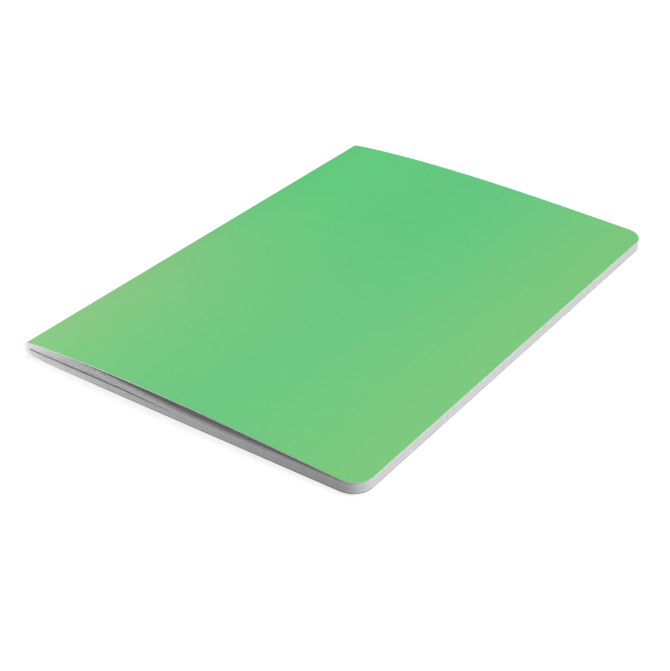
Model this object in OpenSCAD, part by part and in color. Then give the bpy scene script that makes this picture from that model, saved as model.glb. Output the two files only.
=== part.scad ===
// Thread-sewn soft-cover composition notebook, closed and lying on its back cover.
// One signature of folded sheets is sewn through its fold into a folded card cover.
// Millimetres. X runs from the spine to the fore-edge, Y from tail to head, Z up from the table.
// The origin is the middle of the rectangle that the closed notebook covers on the table.

/* [Notebook] */
// Length from tail to head
book_length = 210; // [120:1:300]
// Width from the outside of the spine to the fore-edge
book_width = 145; // [100:1:220]
// Radius of the two corners at the fore-edge
corner_radius = 7.5; // [2:0.5:15]

/* [Signature] */
// Number of folded sheets; each gives two leaves
sheet_count = 20; // [12:1:30]
// Thickness of one leaf
leaf_thickness = 0.09; // [0.075:0.005:0.12]
// Height that the springy folds add at the spine
fold_spring = 0.55; // [0.3:0.05:1.2]
// How square the folds are: 2 is a plain ellipse
fold_squareness = 2.4; // [2:0.1:3]
// Where the leaves begin to part from the front cover, from the crease
part_start = 14; // [5:1:30]
// Where the leaves lie flat on each other, from the crease
part_end = 88; // [60:1:100]
// Opening of the slit at the middle of the signature, at its widest
slit_gap = 0.95; // [0.85:0.05:1.2]
// Opening at the innermost fold, as a share of the widest
slit_neck = 0.6; // [0.55:0.05:1]
// Where the slit is widest, from the crease
slit_crest = 30; // [10:1:40]
// How far the slit reaches, from the crease
slit_reach = 68; // [30:1:90]
// Number of bundles of sheets that the edges show
bundle_count = 6; // [2:1:8]
// Width of the groove between two bundles at the edges
groove_width = 0.05; // [0.03:0.01:0.1]
// Depth of the grooves
groove_depth = 0.4; // [0.2:0.05:1]

/* [Cover] */
// Thickness of the cover card
card_thickness = 0.35; // [0.25:0.05:0.5]
// How far the spine stands outside the two creases
spine_bulge = 1.45; // [1.2:0.05:2.5]
// Rise of the relaxed front cover above a straight line from crease to fore-edge
bow_rise = 2.5; // [0.5:0.1:4]
// Place of the bow's crest: at 1 it is midway, and below 1 it is nearer the spine
bow_skew = 0.75; // [0.7:0.05:1]
// Height of the back crease above the table
back_lift = 0.75; // [0.5:0.05:1.5]
// Width of the strip over which the back cover comes down to the table
back_strip = 9; // [5:0.5:20]
// Clearance between the card and the sheets
card_clearance = 0.05; // [0.03:0.01:0.1]

/* [Sewing] */
// Pitch of the stitches
stitch_pitch = 5.2; // [4:0.1:8]
// Distance from the tail and the head to the seam, at the least
seam_margin = 4; // [2:0.5:15]
// Diameter of both threads
thread_diameter = 0.42; // [0.3:0.02:0.45]
// Clearance round the threads
thread_clearance = 0.03; // [0.02:0.01:0.05]
// Place of the lock in the needle hole: 0 is the outside, 1 the inside
lock_depth = 0.65; // [0.6:0.01:0.68]

/* [Hidden] */

CARD_GREEN = [0.49, 0.78, 0.5];
PAPER_WHITE = [0.93, 0.93, 0.91];
THREAD_WHITE = [0.97, 0.97, 0.95];

// Steps of a cover's curve, of a leaf's curve and of a quarter of a fold
cover_steps = 36;
leaf_steps = 18;
fold_steps = 6;
thread_sides = 6;
overcut = 1;

// Plan, from the crease plane at x = 0
cover_width = book_width - spine_bulge;
proud_thread = thread_diameter + thread_clearance;
plan_shift = (spine_bulge + proud_thread - cover_width) / 2;

// Heights
leaf_stack = sheet_count * leaf_thickness;
card_layer = card_thickness + card_clearance;
leaves_bottom = card_layer;
leaves_top = leaves_bottom + 2 * leaf_stack;
fore_top = leaves_top + card_layer;
crease_bottom = back_lift;
crease_top = back_lift + 2 * leaf_stack + fold_spring + 2 * card_layer;
fold_middle = (crease_bottom + crease_top) / 2;
leaves_middle = (leaves_bottom + leaves_top) / 2;

// Sewing
needle_offset = thread_diameter + thread_clearance;
hole_radius = needle_offset + thread_diameter / 2 + thread_clearance;
stitch_count = floor((book_length - 2 * seam_margin) / stitch_pitch);
first_hole = -stitch_count * stitch_pitch / 2;
slit_start = -spine_bulge + card_layer + leaf_stack;
lock_x = -spine_bulge + lock_depth * (slit_start + spine_bulge);
lock_half = (thread_diameter + thread_clearance) / 2;
outer_run = -spine_bulge - thread_clearance - thread_diameter / 2;
inner_run = slit_start + thread_clearance + thread_diameter / 2;

function mix(a, b, share) = a + (b - a) * share;
function smooth(share) =
    let (s = min(1, max(0, share))) s * s * (3 - 2 * s);

// Outer face of the front cover, and outer face of the back cover
function roof(x) =
    let (u = min(1, max(0, x / cover_width)))
    mix(crease_top, fore_top, u) + bow_rise * sin(180 * pow(u, bow_skew));
function bed(x) = back_lift * pow(max(0, 1 - max(0, x) / back_strip), 1.5);

// Middle of the signature and half the opening of its slit
function middle(x) =
    mix(fold_middle, leaves_middle, smooth((x - slit_reach / 2) / (slit_reach * 0.75)));
function half_slit(x) =
    let (opening = mix(slit_neck, 1, smooth(x / slit_crest)))
    let (closing = max(0, 1 - pow(max(0, x) / slit_reach, 3)))
    slit_gap / 2 * opening * closing;

// Upper and lower face of the leaves at a share of the stack: 0 is the outside, 1 the slit
function leaf_top(x, share) =
    let (flat = smooth((x - part_start) / (part_end - part_start)))
    let (outside = mix(roof(x) - card_layer, leaves_top, flat))
    mix(outside, middle(x) + half_slit(x), share);
function leaf_bottom(x, share) =
    mix(bed(x) + card_layer, middle(x) - half_slit(x), share);

// A quarter of a fold, as shares of its depth and of its height
function fold_depth(angle) = 1 - pow(cos(angle), 2 / fold_squareness);
function fold_height(angle) = pow(sin(angle), 2 / fold_squareness);

// The card's fold round the spine, at a depth from its outer face
function card_fold(depth) = [
    for (i = [-fold_steps:fold_steps])
        let (angle = 90 * abs(i) / fold_steps)
        let (edge = i < 0 ? crease_bottom + depth : crease_top - depth)
        [
            (depth - spine_bulge) * (1 - fold_depth(angle)),
            mix(fold_middle, edge, fold_height(angle))
        ]
];

// One folded sheet's face, from the lower fore-edge round the fold to the upper one
function sheet_left(share) = -spine_bulge + card_layer + leaf_stack * share;
function sheet_bend(share) = mix(spine_bulge - card_layer, slit_gap / 2, share);
function leaf_x(i, share, reach) =
    let (start = sheet_left(share) + sheet_bend(share))
    mix(start, reach, i / leaf_steps);
function sheet_face(share, reach) = concat(
    [
        for (i = [leaf_steps:-1:1])
            let (x = leaf_x(i, share, reach))
            [x, leaf_bottom(x, share)]
    ],
    [
        for (i = [-fold_steps:fold_steps])
            let (angle = 90 * abs(i) / fold_steps)
            let (x = sheet_left(share) + sheet_bend(share) * fold_depth(angle))
            let (edge = i < 0 ? leaf_bottom(x, share) : leaf_top(x, share))
            [x, mix(middle(x), edge, fold_height(angle))]
    ],
    [
        for (i = [1:leaf_steps])
            let (x = leaf_x(i, share, reach))
            [x, leaf_top(x, share)]
    ]
);
function reversed(points) = [for (i = [len(points) - 1:-1:0]) points[i]];

// Stands a section, drawn as X and height, along the whole length of the notebook
module along_spine(length) {
    rotate([90, 0, 0])
        linear_extrude(height = length, center = true)
            children();
}

// The cut outline of the notebook, drawn in from its edges by a distance
module trim_prism(inset) {
    radius = corner_radius - inset;
    fore = cover_width - inset;
    half_length = book_length / 2 - inset;
    translate([0, 0, -overcut])
        linear_extrude(height = crease_top + bow_rise + 2 * overcut)
            union() {
                translate([-spine_bulge - overcut, -half_length])
                    square([fore - radius + spine_bulge + overcut, 2 * half_length]);
                translate([fore - radius - overcut, radius - half_length])
                    square([radius + overcut, 2 * (half_length - radius)]);
                for (side = [-1, 1])
                    translate([fore - radius, side * (half_length - radius)])
                        circle(r = radius, $fn = 64);
            }
}

// A cover's card between its outer face and the same face moved by its thickness
module front_card() {
    along_spine(book_length)
        polygon(concat(
            [for (i = [0:cover_steps]) let (x = cover_width * i / cover_steps) [x, roof(x)]],
            [
                for (i = [cover_steps:-1:0])
                    let (x = cover_width * i / cover_steps)
                    [x, roof(x) - card_thickness]
            ]
        ));
}

module back_card() {
    steps = fold_steps * 2;
    along_spine(book_length)
        polygon(concat(
            [for (i = [0:steps]) let (x = back_strip * i / steps) [x, bed(x)]],
            [[cover_width, 0], [cover_width, card_thickness]],
            [
                for (i = [steps:-1:0])
                    let (x = back_strip * i / steps)
                    [x, bed(x) + card_thickness]
            ]
        ));
}

// The needle's holes, from outside the spine to inside the slit
module needle_holes() {
    for (i = [0:stitch_count])
        translate([-spine_bulge - overcut, first_hole + i * stitch_pitch, fold_middle])
            rotate([0, 90, 0])
                cylinder(r = hole_radius, h = slit_start + spine_bulge + slit_gap / 2 + overcut, $fn = 32);
}

// The narrow line between two bundles of sheets, as a thin U
module bundle_line(share) {
    half_share = groove_width / 2 / leaf_stack;
    polygon(concat(
        sheet_face(share - half_share, cover_width + overcut),
        reversed(sheet_face(share + half_share, cover_width + overcut))
    ));
}

// The line between the two halves of the innermost sheet, past the slit's end
module middle_line() {
    start = slit_reach - groove_depth;
    reach = cover_width + overcut;
    function line(i, side) =
        let (x = mix(start, reach, i / leaf_steps))
        [x, middle(x) + side * groove_width / 2];
    polygon(concat(
        [for (i = [0:leaf_steps]) line(i, -1)],
        [for (i = [leaf_steps:-1:0]) line(i, 1)]
    ));
}

module edge_grooves() {
    difference() {
        along_spine(book_length + 2 * overcut) {
            for (i = [1:bundle_count - 1])
                bundle_line(i / bundle_count);
            middle_line();
        }
        trim_prism(groove_depth);
    }
}

// The lens-shaped slit at the middle, open at both ends of the fold
module middle_slit() {
    along_spine(book_length + 2 * overcut)
        polygon(sheet_face(1, slit_reach));
}

// Sweeps a round thread along a route; its rings lie on the mitres of the bends
function unit(v) = v / norm(v);
function across(v, direction) = v - (v * direction) * direction;
function leg(route, i) =
    let (k = min(max(i, 0), len(route) - 2))
    unit(route[k + 1] - route[k]);
function mitre_direction(route, i) = unit(leg(route, i - 1) + leg(route, i));
function carried(side, direction) = unit(across(side, direction));
function ring_point(centre, offset, direction, turn, stretch) =
    norm(turn) < 0.001
        ? centre + offset
        : centre + offset + (offset * unit(turn)) * (stretch - 1) * unit(turn);
function thread_rings(route, first_side) = [
    for (
        i = 0, side = carried(first_side, leg(route, 0));
        i < len(route);
        i = i + 1,
        side = carried(side, mitre_direction(route, min(i, len(route) - 1)))
    )
        let (direction = mitre_direction(route, i))
        let (other = cross(direction, side))
        let (turn = across(leg(route, i) - leg(route, i - 1), direction))
        let (stretch = 1 / (leg(route, i) * direction))
        [
            for (k = [0:thread_sides - 1])
                let (angle = 360 * k / thread_sides)
                let (offset = thread_diameter / 2 * (cos(angle) * side + sin(angle) * other))
                ring_point(route[i], offset, direction, turn, stretch)
        ]
];

module thread_along(route, first_side) {
    rings = thread_rings(route, first_side);
    last = (len(route) - 1) * thread_sides;
    walls = [
        for (i = [0:len(route) - 2], k = [0:thread_sides - 1])
            let (a = i * thread_sides + k)
            let (b = i * thread_sides + (k + 1) % thread_sides)
            each [[a, a + thread_sides, b], [b, a + thread_sides, b + thread_sides]]
    ];
    first_cap = [for (k = [0:thread_sides - 1]) k];
    last_cap = [for (k = [thread_sides - 1:-1:0]) last + k];
    polyhedron(
        points = [for (ring = rings) each ring],
        faces = concat([first_cap, last_cap], walls)
    );
}

// The needle thread dips into each hole, turns a quarter on its way and rounds the bobbin thread
function needle_dip(y) =
    let (g = needle_offset)
    let (deep = lock_x + lock_half)
    let (twist_end = lock_x - lock_half - thread_diameter / 2)
    [
        [outer_run, y - g - thread_diameter / 2, fold_middle],
        [-spine_bulge, y - g, fold_middle],
        [twist_end, y, fold_middle + g],
        [deep - g / 2, y, fold_middle + g],
        [deep, y, fold_middle + g / 2],
        [deep, y, fold_middle - g / 2],
        [deep - g / 2, y, fold_middle - g],
        [twist_end, y, fold_middle - g],
        [-spine_bulge, y + g, fold_middle],
        [outer_run, y + g + thread_diameter / 2, fold_middle]
    ];

// The bobbin thread lies in the fold and is drawn up into each hole
function bobbin_rise(y) =
    let (g = needle_offset)
    let (high = lock_x - lock_half)
    [
        [inner_run, y - g, fold_middle],
        [high + g / 2, y - g, fold_middle],
        [high, y - g / 2, fold_middle],
        [high, y + g / 2, fold_middle],
        [high + g / 2, y + g, fold_middle],
        [inner_run, y + g, fold_middle]
    ];

module placed() {
    translate([plan_shift, 0, 0])
        children();
}

module front_cover() {
    color(CARD_GREEN)
        placed()
            intersection() {
                front_card();
                trim_prism(0);
            }
}

module back_cover() {
    color(CARD_GREEN)
        placed()
            intersection() {
                back_card();
                trim_prism(0);
            }
}

module spine() {
    color(CARD_GREEN)
        placed()
            difference() {
                along_spine(book_length)
                    polygon(concat(card_fold(0), reversed(card_fold(card_thickness))));
                needle_holes();
            }
}

module text_block() {
    color(PAPER_WHITE)
        placed()
            difference() {
                intersection() {
                    along_spine(book_length)
                        polygon(sheet_face(0, cover_width));
                    trim_prism(0);
                }
                middle_slit();
                edge_grooves();
                needle_holes();
            }
}

module needle_thread() {
    route = [
        for (i = [0:stitch_count])
            each needle_dip(first_hole + i * stitch_pitch)
    ];
    color(THREAD_WHITE)
        placed()
            thread_along(route, [0, 0, 1]);
}

module bobbin_thread() {
    route = [
        for (i = [0:stitch_count])
            each bobbin_rise(first_hole + i * stitch_pitch)
    ];
    color(THREAD_WHITE)
        placed()
            thread_along(route, [0, 0, 1]);
}

front_cover();
spine();
back_cover();
text_block();
needle_thread();
bobbin_thread();
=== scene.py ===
"""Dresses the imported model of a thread-sewn soft-cover notebook.

The notebook lies closed on its back cover. Its cover is one folded card, shown as a front, a
spine strip and a back; its leaves are folded sheets nested in each other; and a machine seam
holds all of it together through the fold. X runs from the spine to the fore-edge, Y from tail
to head and Z up. Lengths are in metres.
"""

import logging
import math
from collections.abc import Callable, Iterable, Sequence
from dataclasses import dataclass, field
from enum import Enum
from typing import Any

import bmesh
import bpy
from mathutils import Matrix, Vector


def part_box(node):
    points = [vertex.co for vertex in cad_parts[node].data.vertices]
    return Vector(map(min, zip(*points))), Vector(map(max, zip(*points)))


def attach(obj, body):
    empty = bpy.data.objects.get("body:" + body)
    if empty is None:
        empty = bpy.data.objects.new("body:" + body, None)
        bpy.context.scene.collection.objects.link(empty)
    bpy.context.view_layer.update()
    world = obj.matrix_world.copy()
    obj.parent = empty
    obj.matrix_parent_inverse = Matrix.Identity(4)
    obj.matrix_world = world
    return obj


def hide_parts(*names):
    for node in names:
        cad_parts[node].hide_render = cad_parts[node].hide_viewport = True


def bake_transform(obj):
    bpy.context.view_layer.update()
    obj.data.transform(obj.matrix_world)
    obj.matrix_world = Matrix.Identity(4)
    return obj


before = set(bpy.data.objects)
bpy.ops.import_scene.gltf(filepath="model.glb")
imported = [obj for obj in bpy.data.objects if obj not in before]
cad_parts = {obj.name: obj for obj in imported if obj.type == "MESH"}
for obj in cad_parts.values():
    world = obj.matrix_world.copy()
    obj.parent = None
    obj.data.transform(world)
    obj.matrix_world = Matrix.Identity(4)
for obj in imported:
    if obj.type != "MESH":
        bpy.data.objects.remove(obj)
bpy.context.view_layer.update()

LOG = logging.getLogger("notebook")
MM = 0.001
QUARTER_TURN = math.pi / 2
FULL_TURN = 2 * math.pi

Point = tuple[float, float, float]
Colour = tuple[float, float, float, float]

WHITE: Colour = (1.0, 1.0, 1.0, 1.0)


def linear(value: int) -> float:
    """Gives a screen value from 0 to 255 as linear light, by the sRGB curve."""
    share = value / 255
    return share / 12.92 if share <= 0.04045 else ((share + 0.055) / 1.055) ** 2.4


def srgb(red: int, green: int, blue: int) -> Colour:
    """Gives a colour as seen on a screen as linear light."""
    return linear(red), linear(green), linear(blue), 1.0


class Term:
    """A number that a node tree works out: arithmetic on it adds Math nodes."""

    def __init__(self, graph: "Graph", socket: bpy.types.NodeSocket) -> None:
        """Wraps one output socket of a graph."""
        self.graph = graph
        self.socket = socket

    def maths(self, operation: str, *others: Any, clamp: bool = False) -> "Term":
        """Adds a Math node with this as its first input."""
        return self.graph.maths(operation, self, *others, clamp=clamp)

    def __add__(self, other: Any) -> "Term":
        """Adds."""
        return self.maths("ADD", other)

    __radd__ = __add__

    def __sub__(self, other: Any) -> "Term":
        """Subtracts other from this."""
        return self.maths("SUBTRACT", other)

    def __rsub__(self, other: Any) -> "Term":
        """Subtracts this from other."""
        return self.graph.maths("SUBTRACT", other, self)

    def __mul__(self, other: Any) -> "Term":
        """Multiplies."""
        return self.maths("MULTIPLY", other)

    __rmul__ = __mul__

    def __truediv__(self, other: Any) -> "Term":
        """Divides this by other."""
        return self.maths("DIVIDE", other)

    def __rtruediv__(self, other: Any) -> "Term":
        """Divides other by this."""
        return self.graph.maths("DIVIDE", other, self)

    def __pow__(self, other: Any) -> "Term":
        """Raises this to a power."""
        return self.maths("POWER", other)


class Graph:
    """Builds a shader tree or a geometry tree, one node at a time."""

    def __init__(self, tree: bpy.types.NodeTree) -> None:
        """Takes an empty tree."""
        self.tree = tree

    @classmethod
    def of(cls, owner: bpy.types.Material | bpy.types.World) -> "Graph":
        """Empties the tree of a material or a world and starts on it.

        Args:
            owner: The material or the world.

        Returns:
            The graph.
        """
        owner.use_nodes = True
        owner.node_tree.nodes.clear()
        return cls(owner.node_tree)

    def node(self, kind: str, settings: dict[str, Any] | None = None,
             sockets: dict[Any, Any] | None = None) -> Any:
        """Adds a node.

        Args:
            kind: The node's type.
            settings: Its settings by name, set first.
            sockets: The value or the link of each input, by name or number.

        Returns:
            The node.
        """
        made = self.tree.nodes.new(kind)
        for name, value in (settings or {}).items():
            setattr(made, name, value)
        for key, value in (sockets or {}).items():
            if isinstance(value, Term):
                value = value.socket
            if isinstance(value, bpy.types.NodeSocket):
                self.tree.links.new(value, made.inputs[key])
            else:
                made.inputs[key].default_value = value
        return made

    def term(self, kind: str, settings: dict[str, Any] | None = None,
             sockets: dict[Any, Any] | None = None, output: str | int = 0) -> Term:
        """Adds a node as the method node does, and wraps the named or numbered output."""
        return Term(self, self.node(kind, settings, sockets).outputs[output])

    def maths(self, operation: str, *values: Any, clamp: bool = False) -> Term:
        """Adds a Math node; with clamp its result stays between 0 and 1."""
        settings = {"operation": operation, "use_clamp": clamp}
        return self.term("ShaderNodeMath", settings, dict(enumerate(values)))

    def vector_maths(self, operation: str, sockets: dict[Any, Any]) -> Term:
        """Adds a Vector Math node that gives a vector."""
        return self.term("ShaderNodeVectorMath", {"operation": operation}, sockets)

    def blend(self, first: Any, second: Any, share: Any, mode: str = "MIX") -> Term:
        """Mixes two colours by the share of the second; the colour sockets are 6, 7 and output 2."""
        settings = {"data_type": "RGBA", "blend_type": mode}
        return self.term("ShaderNodeMix", settings, {0: share, 6: first, 7: second}, 2)

    def split(self, vector: Term) -> tuple[Term, ...]:
        """Splits a vector into its three numbers."""
        parts = self.node("ShaderNodeSeparateXYZ", sockets={0: vector})
        return tuple(Term(self, output) for output in parts.outputs)

    def joined(self, x: Any, y: Any, z: Any) -> Term:
        """Joins three numbers into a vector."""
        return self.term("ShaderNodeCombineXYZ", sockets={0: x, 1: y, 2: z})


Number = float | Term


def clamped(value: Number) -> Number:
    """Keeps a number, or what a tree works out, between 0 and 1."""
    return value.maths("ADD", 0.0, clamp=True) if isinstance(value, Term) else min(1.0, max(0.0, value))


def at_least(value: Number, floor: Number) -> Number:
    """Keeps a number from falling below a floor."""
    return value.maths("MAXIMUM", floor) if isinstance(value, Term) else max(floor, value)


def positive(value: Term) -> Term:
    """Gives 1 where a number is above zero, and 0 elsewhere."""
    return value.maths("GREATER_THAN", 0.0)


def root(value: Number) -> Number:
    """Gives the square root."""
    return value.maths("SQRT") if isinstance(value, Term) else math.sqrt(value)


def sine(angle: Number) -> Number:
    """Gives the sine of an angle in radians."""
    return angle.maths("SINE") if isinstance(angle, Term) else math.sin(angle)


def cosine(angle: Number) -> Number:
    """Gives the cosine of an angle in radians, with no rounding below zero."""
    return at_least(angle.maths("COSINE") if isinstance(angle, Term) else math.cos(angle), 0.0)


def mixed(first: Number, second: Number, share: Number) -> Number:
    """Goes from first, at share 0, to second, at share 1."""
    return first + (second - first) * share


def smoothed(share: Number) -> Number:
    """Eases a share in and out between 0 and 1."""
    kept = clamped(share)
    return kept * kept * (3.0 - 2.0 * kept)


@dataclass(frozen=True)
class Section:
    """The notebook's cross-section, measured from the crease plane and the table."""

    crease_x: float
    cover_width: float
    half_length: float
    card: float
    bulge: float
    crease_bottom: float
    crease_top: float
    fore_top: float
    corner_radius: float = 7.5 * MM
    clearance: float = 0.05 * MM
    bow_rise: float = 2.5 * MM
    bow_skew: float = 0.75
    back_strip: float = 9.0 * MM
    back_curve: float = 1.5
    part_start: float = 14.0 * MM
    part_end: float = 88.0 * MM
    slit_gap: float = 0.95 * MM
    slit_neck: float = 0.6
    slit_crest: float = 30.0 * MM
    slit_reach: float = 68.0 * MM
    slit_taper: float = 3.0
    # The signature's middle settles over this stretch, in shares of the slit's reach.
    settle_start: float = 0.5
    settle_width: float = 0.75
    fold_squareness: float = 2.4
    # The upper leaves fan out: this much of their stack does, and the topmost leaf keeps this
    # much of the cover's rise.
    fan_share: float = 0.5
    fan_rise: float = 0.24

    @classmethod
    def from_frame(cls) -> "Section":
        """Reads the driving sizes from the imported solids.

        Returns:
            The section.
        """
        front_low, front_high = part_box("front_cover")
        spine_low, spine_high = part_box("spine")
        back_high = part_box("back_cover")[1]
        card = back_high.z - spine_low.z
        return cls(
            crease_x=front_low.x,
            cover_width=front_high.x - front_low.x,
            half_length=front_high.y,
            card=card,
            bulge=front_low.x - spine_low.x,
            crease_bottom=spine_low.z,
            crease_top=spine_high.z,
            fore_top=front_low.z + card,
        )

    @property
    def layer(self) -> float:
        """Card and clearance together."""
        return self.card + self.clearance

    @property
    def leaves_top(self) -> float:
        """Top of the leaves where they lie flat."""
        return self.fore_top - self.layer

    @property
    def leaf_stack(self) -> float:
        """Thickness of half the signature, pressed."""
        return (self.leaves_top - self.layer) / 2

    @property
    def fold_middle(self) -> float:
        """Height of the fold's middle at the spine."""
        return (self.crease_bottom + self.crease_top) / 2

    @property
    def slit_start(self) -> float:
        """Inside of the innermost fold."""
        return self.layer + self.leaf_stack - self.bulge

    @property
    def corner_x(self) -> float:
        """Where the round corners begin."""
        return self.cover_width - self.corner_radius

    @property
    def strip_x(self) -> float:
        """Middle of the spine strip's card, in the frame."""
        return self.crease_x - self.bulge + self.card / 2

    def roof(self, x: Number) -> Number:
        """Gives the height of the front cover's outer face.

        Args:
            x: Distance from the crease.

        Returns:
            The height.
        """
        share = clamped(x / self.cover_width)
        line = mixed(self.crease_top, self.fore_top, share)
        return line + self.bow_rise * sine(math.pi * share**self.bow_skew)

    def bed(self, x: Number) -> Number:
        """Gives the height of the back cover's outer face at a distance from the crease."""
        left = at_least(1.0 - at_least(x, 0.0) / self.back_strip, 0.0)
        return self.crease_bottom * left**self.back_curve

    def middle(self, x: Number) -> Number:
        """Gives the height of the signature's middle.

        Args:
            x: Distance from the crease.

        Returns:
            The height.
        """
        start = self.slit_reach * self.settle_start
        settled = smoothed((x - start) / (self.slit_reach * self.settle_width))
        return mixed(self.fold_middle, (self.layer + self.leaves_top) / 2, settled)

    def half_slit(self, x: Number) -> Number:
        """Gives half the slit's opening.

        Args:
            x: Distance from the crease.

        Returns:
            Half the opening.
        """
        opening = mixed(self.slit_neck, 1.0, smoothed(x / self.slit_crest))
        closing = at_least(1.0 - (at_least(x, 0.0) / self.slit_reach) ** self.slit_taper, 0.0)
        return self.slit_gap / 2 * opening * closing

    def upper_edge(self, x: Number, share: Number) -> Number:
        """Gives the height of a leaf of the upper half; the topmost leaves fan out a little.

        Args:
            x: Distance from the crease.
            share: Place in the stack, from 0 under the cover to 1 at the slit.

        Returns:
            The height.
        """
        loose = at_least(1.0 - share / self.fan_share, 0.0) ** 2 * self.fan_rise
        flat = smoothed((x - self.part_start) / (self.part_end - self.part_start)) * (1.0 - loose)
        outside = mixed(self.roof(x) - self.layer, self.leaves_top, flat)
        return mixed(outside, self.middle(x) + self.half_slit(x), share)

    def lower_edge(self, x: Number, share: Number) -> Number:
        """Gives the height of a leaf of the lower half; share 0 lies on the cover, 1 at the slit."""
        return mixed(self.bed(x) + self.layer, self.middle(x) - self.half_slit(x), share)

    def fold_depth(self, turn: Number) -> Number:
        """Gives the share of a fold's depth at an angle from its middle."""
        return 1.0 - cosine(turn) ** (2.0 / self.fold_squareness)

    def fold_height(self, turn: Number) -> Number:
        """Gives the share of a fold's height at an angle from its middle."""
        return at_least(sine(turn), 0.0) ** (2.0 / self.fold_squareness)

    def reach(self, x: Number) -> Number:
        """Gives half the notebook's length, which is less at the round corners.

        Args:
            x: Distance from the crease.

        Returns:
            Half the length.
        """
        into = at_least(x - self.corner_x, 0.0)
        radius = self.corner_radius
        return self.half_length - radius + root(at_least(radius * radius - into * into, 0.0))


@dataclass(frozen=True)
class Grain:
    """A noise of a finish: the size of its largest features, its finer octaves and its stretch."""

    size: float
    detail: float = 3.0
    stretch: Point = (1.0, 1.0, 1.0)

    def spread(self, graph: Graph, place: Term) -> Term:
        """Spreads the noise over the object coordinates.

        Args:
            graph: The material's graph.
            place: The object coordinates.

        Returns:
            The noise, from 0 to 1.
        """
        scale = tuple(1 / (self.size * factor) for factor in self.stretch)
        scaled = graph.vector_maths("MULTIPLY", {0: place, 1: scale})
        sockets = {"Vector": scaled, "Scale": 1.0, "Detail": self.detail}
        return graph.term("ShaderNodeTexNoise", None, sockets, "Fac")


@dataclass(frozen=True)
class Finish:
    """A procedural material on the piece's own object coordinates; its grain also stands out."""

    name: str
    roughness: float
    specular: float
    light: Colour
    dark: Colour
    grain: Grain
    relief: float = 0.01 * MM
    sheen: float = 0.0

    def make(self) -> bpy.types.Material:
        """Builds the material.

        Returns:
            The material.
        """
        material = bpy.data.materials.new(self.name)
        graph = Graph.of(material)
        place = graph.term("ShaderNodeTexCoord", output="Object")
        grain = self.grain.spread(graph, place)
        relief = {"Strength": 1.0, "Distance": self.relief, "Height": grain}
        shader = graph.term("ShaderNodeBsdfPrincipled", sockets={
            "Base Color": self.colour(graph, place, grain),
            "Roughness": self.gloss(grain),
            "Specular IOR Level": self.specular,
            "Sheen Weight": self.sheen,
            "Normal": graph.term("ShaderNodeBump", sockets=relief),
        })
        graph.node("ShaderNodeOutputMaterial", sockets={"Surface": shader})
        return material

    def colour(self, graph: Graph, place: Term, grain: Term) -> Term:
        """Gives the colour, between the dark and the light one."""
        return graph.blend(self.dark, self.light, self.lightness(graph, place, grain))

    def lightness(self, graph: Graph, place: Term, grain: Term) -> Term:
        """Gives the share of the light colour."""
        return grain

    def gloss(self, grain: Term) -> Number:
        """Gives the roughness."""
        return self.roughness


@dataclass(frozen=True)
class CoatedCard(Finish):
    """Green card with a smooth satin coating, with painted light in its colour: lighter along the spine,
    and a painted yellowish sheen toward the fore-edge and the spine's tail end.

    Its dark colour is the green at the middle and its light one the painted lighter green along the spine.
    """

    name: str = "coated_green_card"
    roughness: float = 0.5
    specular: float = 0.3
    # The light green is painted light along the spine; the dark green is the card's own at the middle.
    light: Colour = srgb(93, 210, 125)
    dark: Colour = srgb(88, 199, 120)
    grain: Grain = Grain(0.35 * MM, detail=2.0)
    relief: float = 0.004 * MM
    grain_gloss: float = 0.06
    # Painted yellowish sheen: toward the fore-edge, and at the spine's tail end.
    fore_sheen_green: Colour = srgb(112, 195, 113)
    warm_sheen_green: Colour = srgb(137, 202, 131)
    spine_x: float = -70.0 * MM
    spine_fade: float = 48.0 * MM
    middle_x: float = 5.0 * MM
    fore_fade: float = 75.0 * MM
    tail_y: float = -60.0 * MM
    tail_fade: float = 130.0 * MM
    mottle: Grain = Grain(9.0 * MM, detail=2.0)
    mottle_tint: float = 0.06

    def colour(self, graph: Graph, place: Term, grain: Term) -> Term:
        """Gives the green over the cover, with painted light along the spine and a painted yellowish sheen
        toward the fore-edge and the spine's tail end.

        Args:
            graph: The material's graph.
            place: The object coordinates.
            grain: The grain, which leaves the colour alone.

        Returns:
            The colour.
        """
        x, y, _ = graph.split(place)
        # Painted light and sheen: lighter along the spine, yellower toward the fore-edge and the spine's
        # tail end.
        across = smoothed((x - self.spine_x) / (self.middle_x - self.spine_x))
        fore_sheen_share = smoothed((x - self.middle_x) / self.fore_fade)
        spine_sheen_share = ((self.spine_x - x) / self.spine_fade).maths("EXPONENT")
        tail_sheen_share = 1.0 - smoothed((y - self.tail_y) / self.tail_fade)
        green = graph.blend(graph.blend(self.light, self.dark, across), self.fore_sheen_green, fore_sheen_share)
        uneven = (self.mottle.spread(graph, place) - 0.5) * self.mottle_tint
        return graph.blend(green, self.warm_sheen_green, clamped(spine_sheen_share * tail_sheen_share + uneven))

    def gloss(self, grain: Term) -> Number:
        """Gives the roughness, which the grain varies a little."""
        return self.roughness + (grain - 0.5) * self.grain_gloss


@dataclass(frozen=True)
class BareCard(Finish):
    """The uncoated inside of the cover card: off-white with short fibres and soft clouds."""

    name: str = "uncoated_card"
    roughness: float = 0.8
    specular: float = 0.25
    light: Colour = srgb(238, 238, 239)
    dark: Colour = srgb(220, 220, 221)
    grain: Grain = Grain(0.5 * MM, 4.0, (1.0, 3.0, 1.0))
    grain_share: float = 0.6
    cloud: Grain = Grain(12.0 * MM, detail=2.0)
    cloud_share: float = 0.5

    def lightness(self, graph: Graph, place: Term, grain: Term) -> Term:
        """Gives the share of the light colour, from the fibres and the clouds."""
        return clamped(grain * self.grain_share + self.cloud.spread(graph, place) * self.cloud_share)


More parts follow.
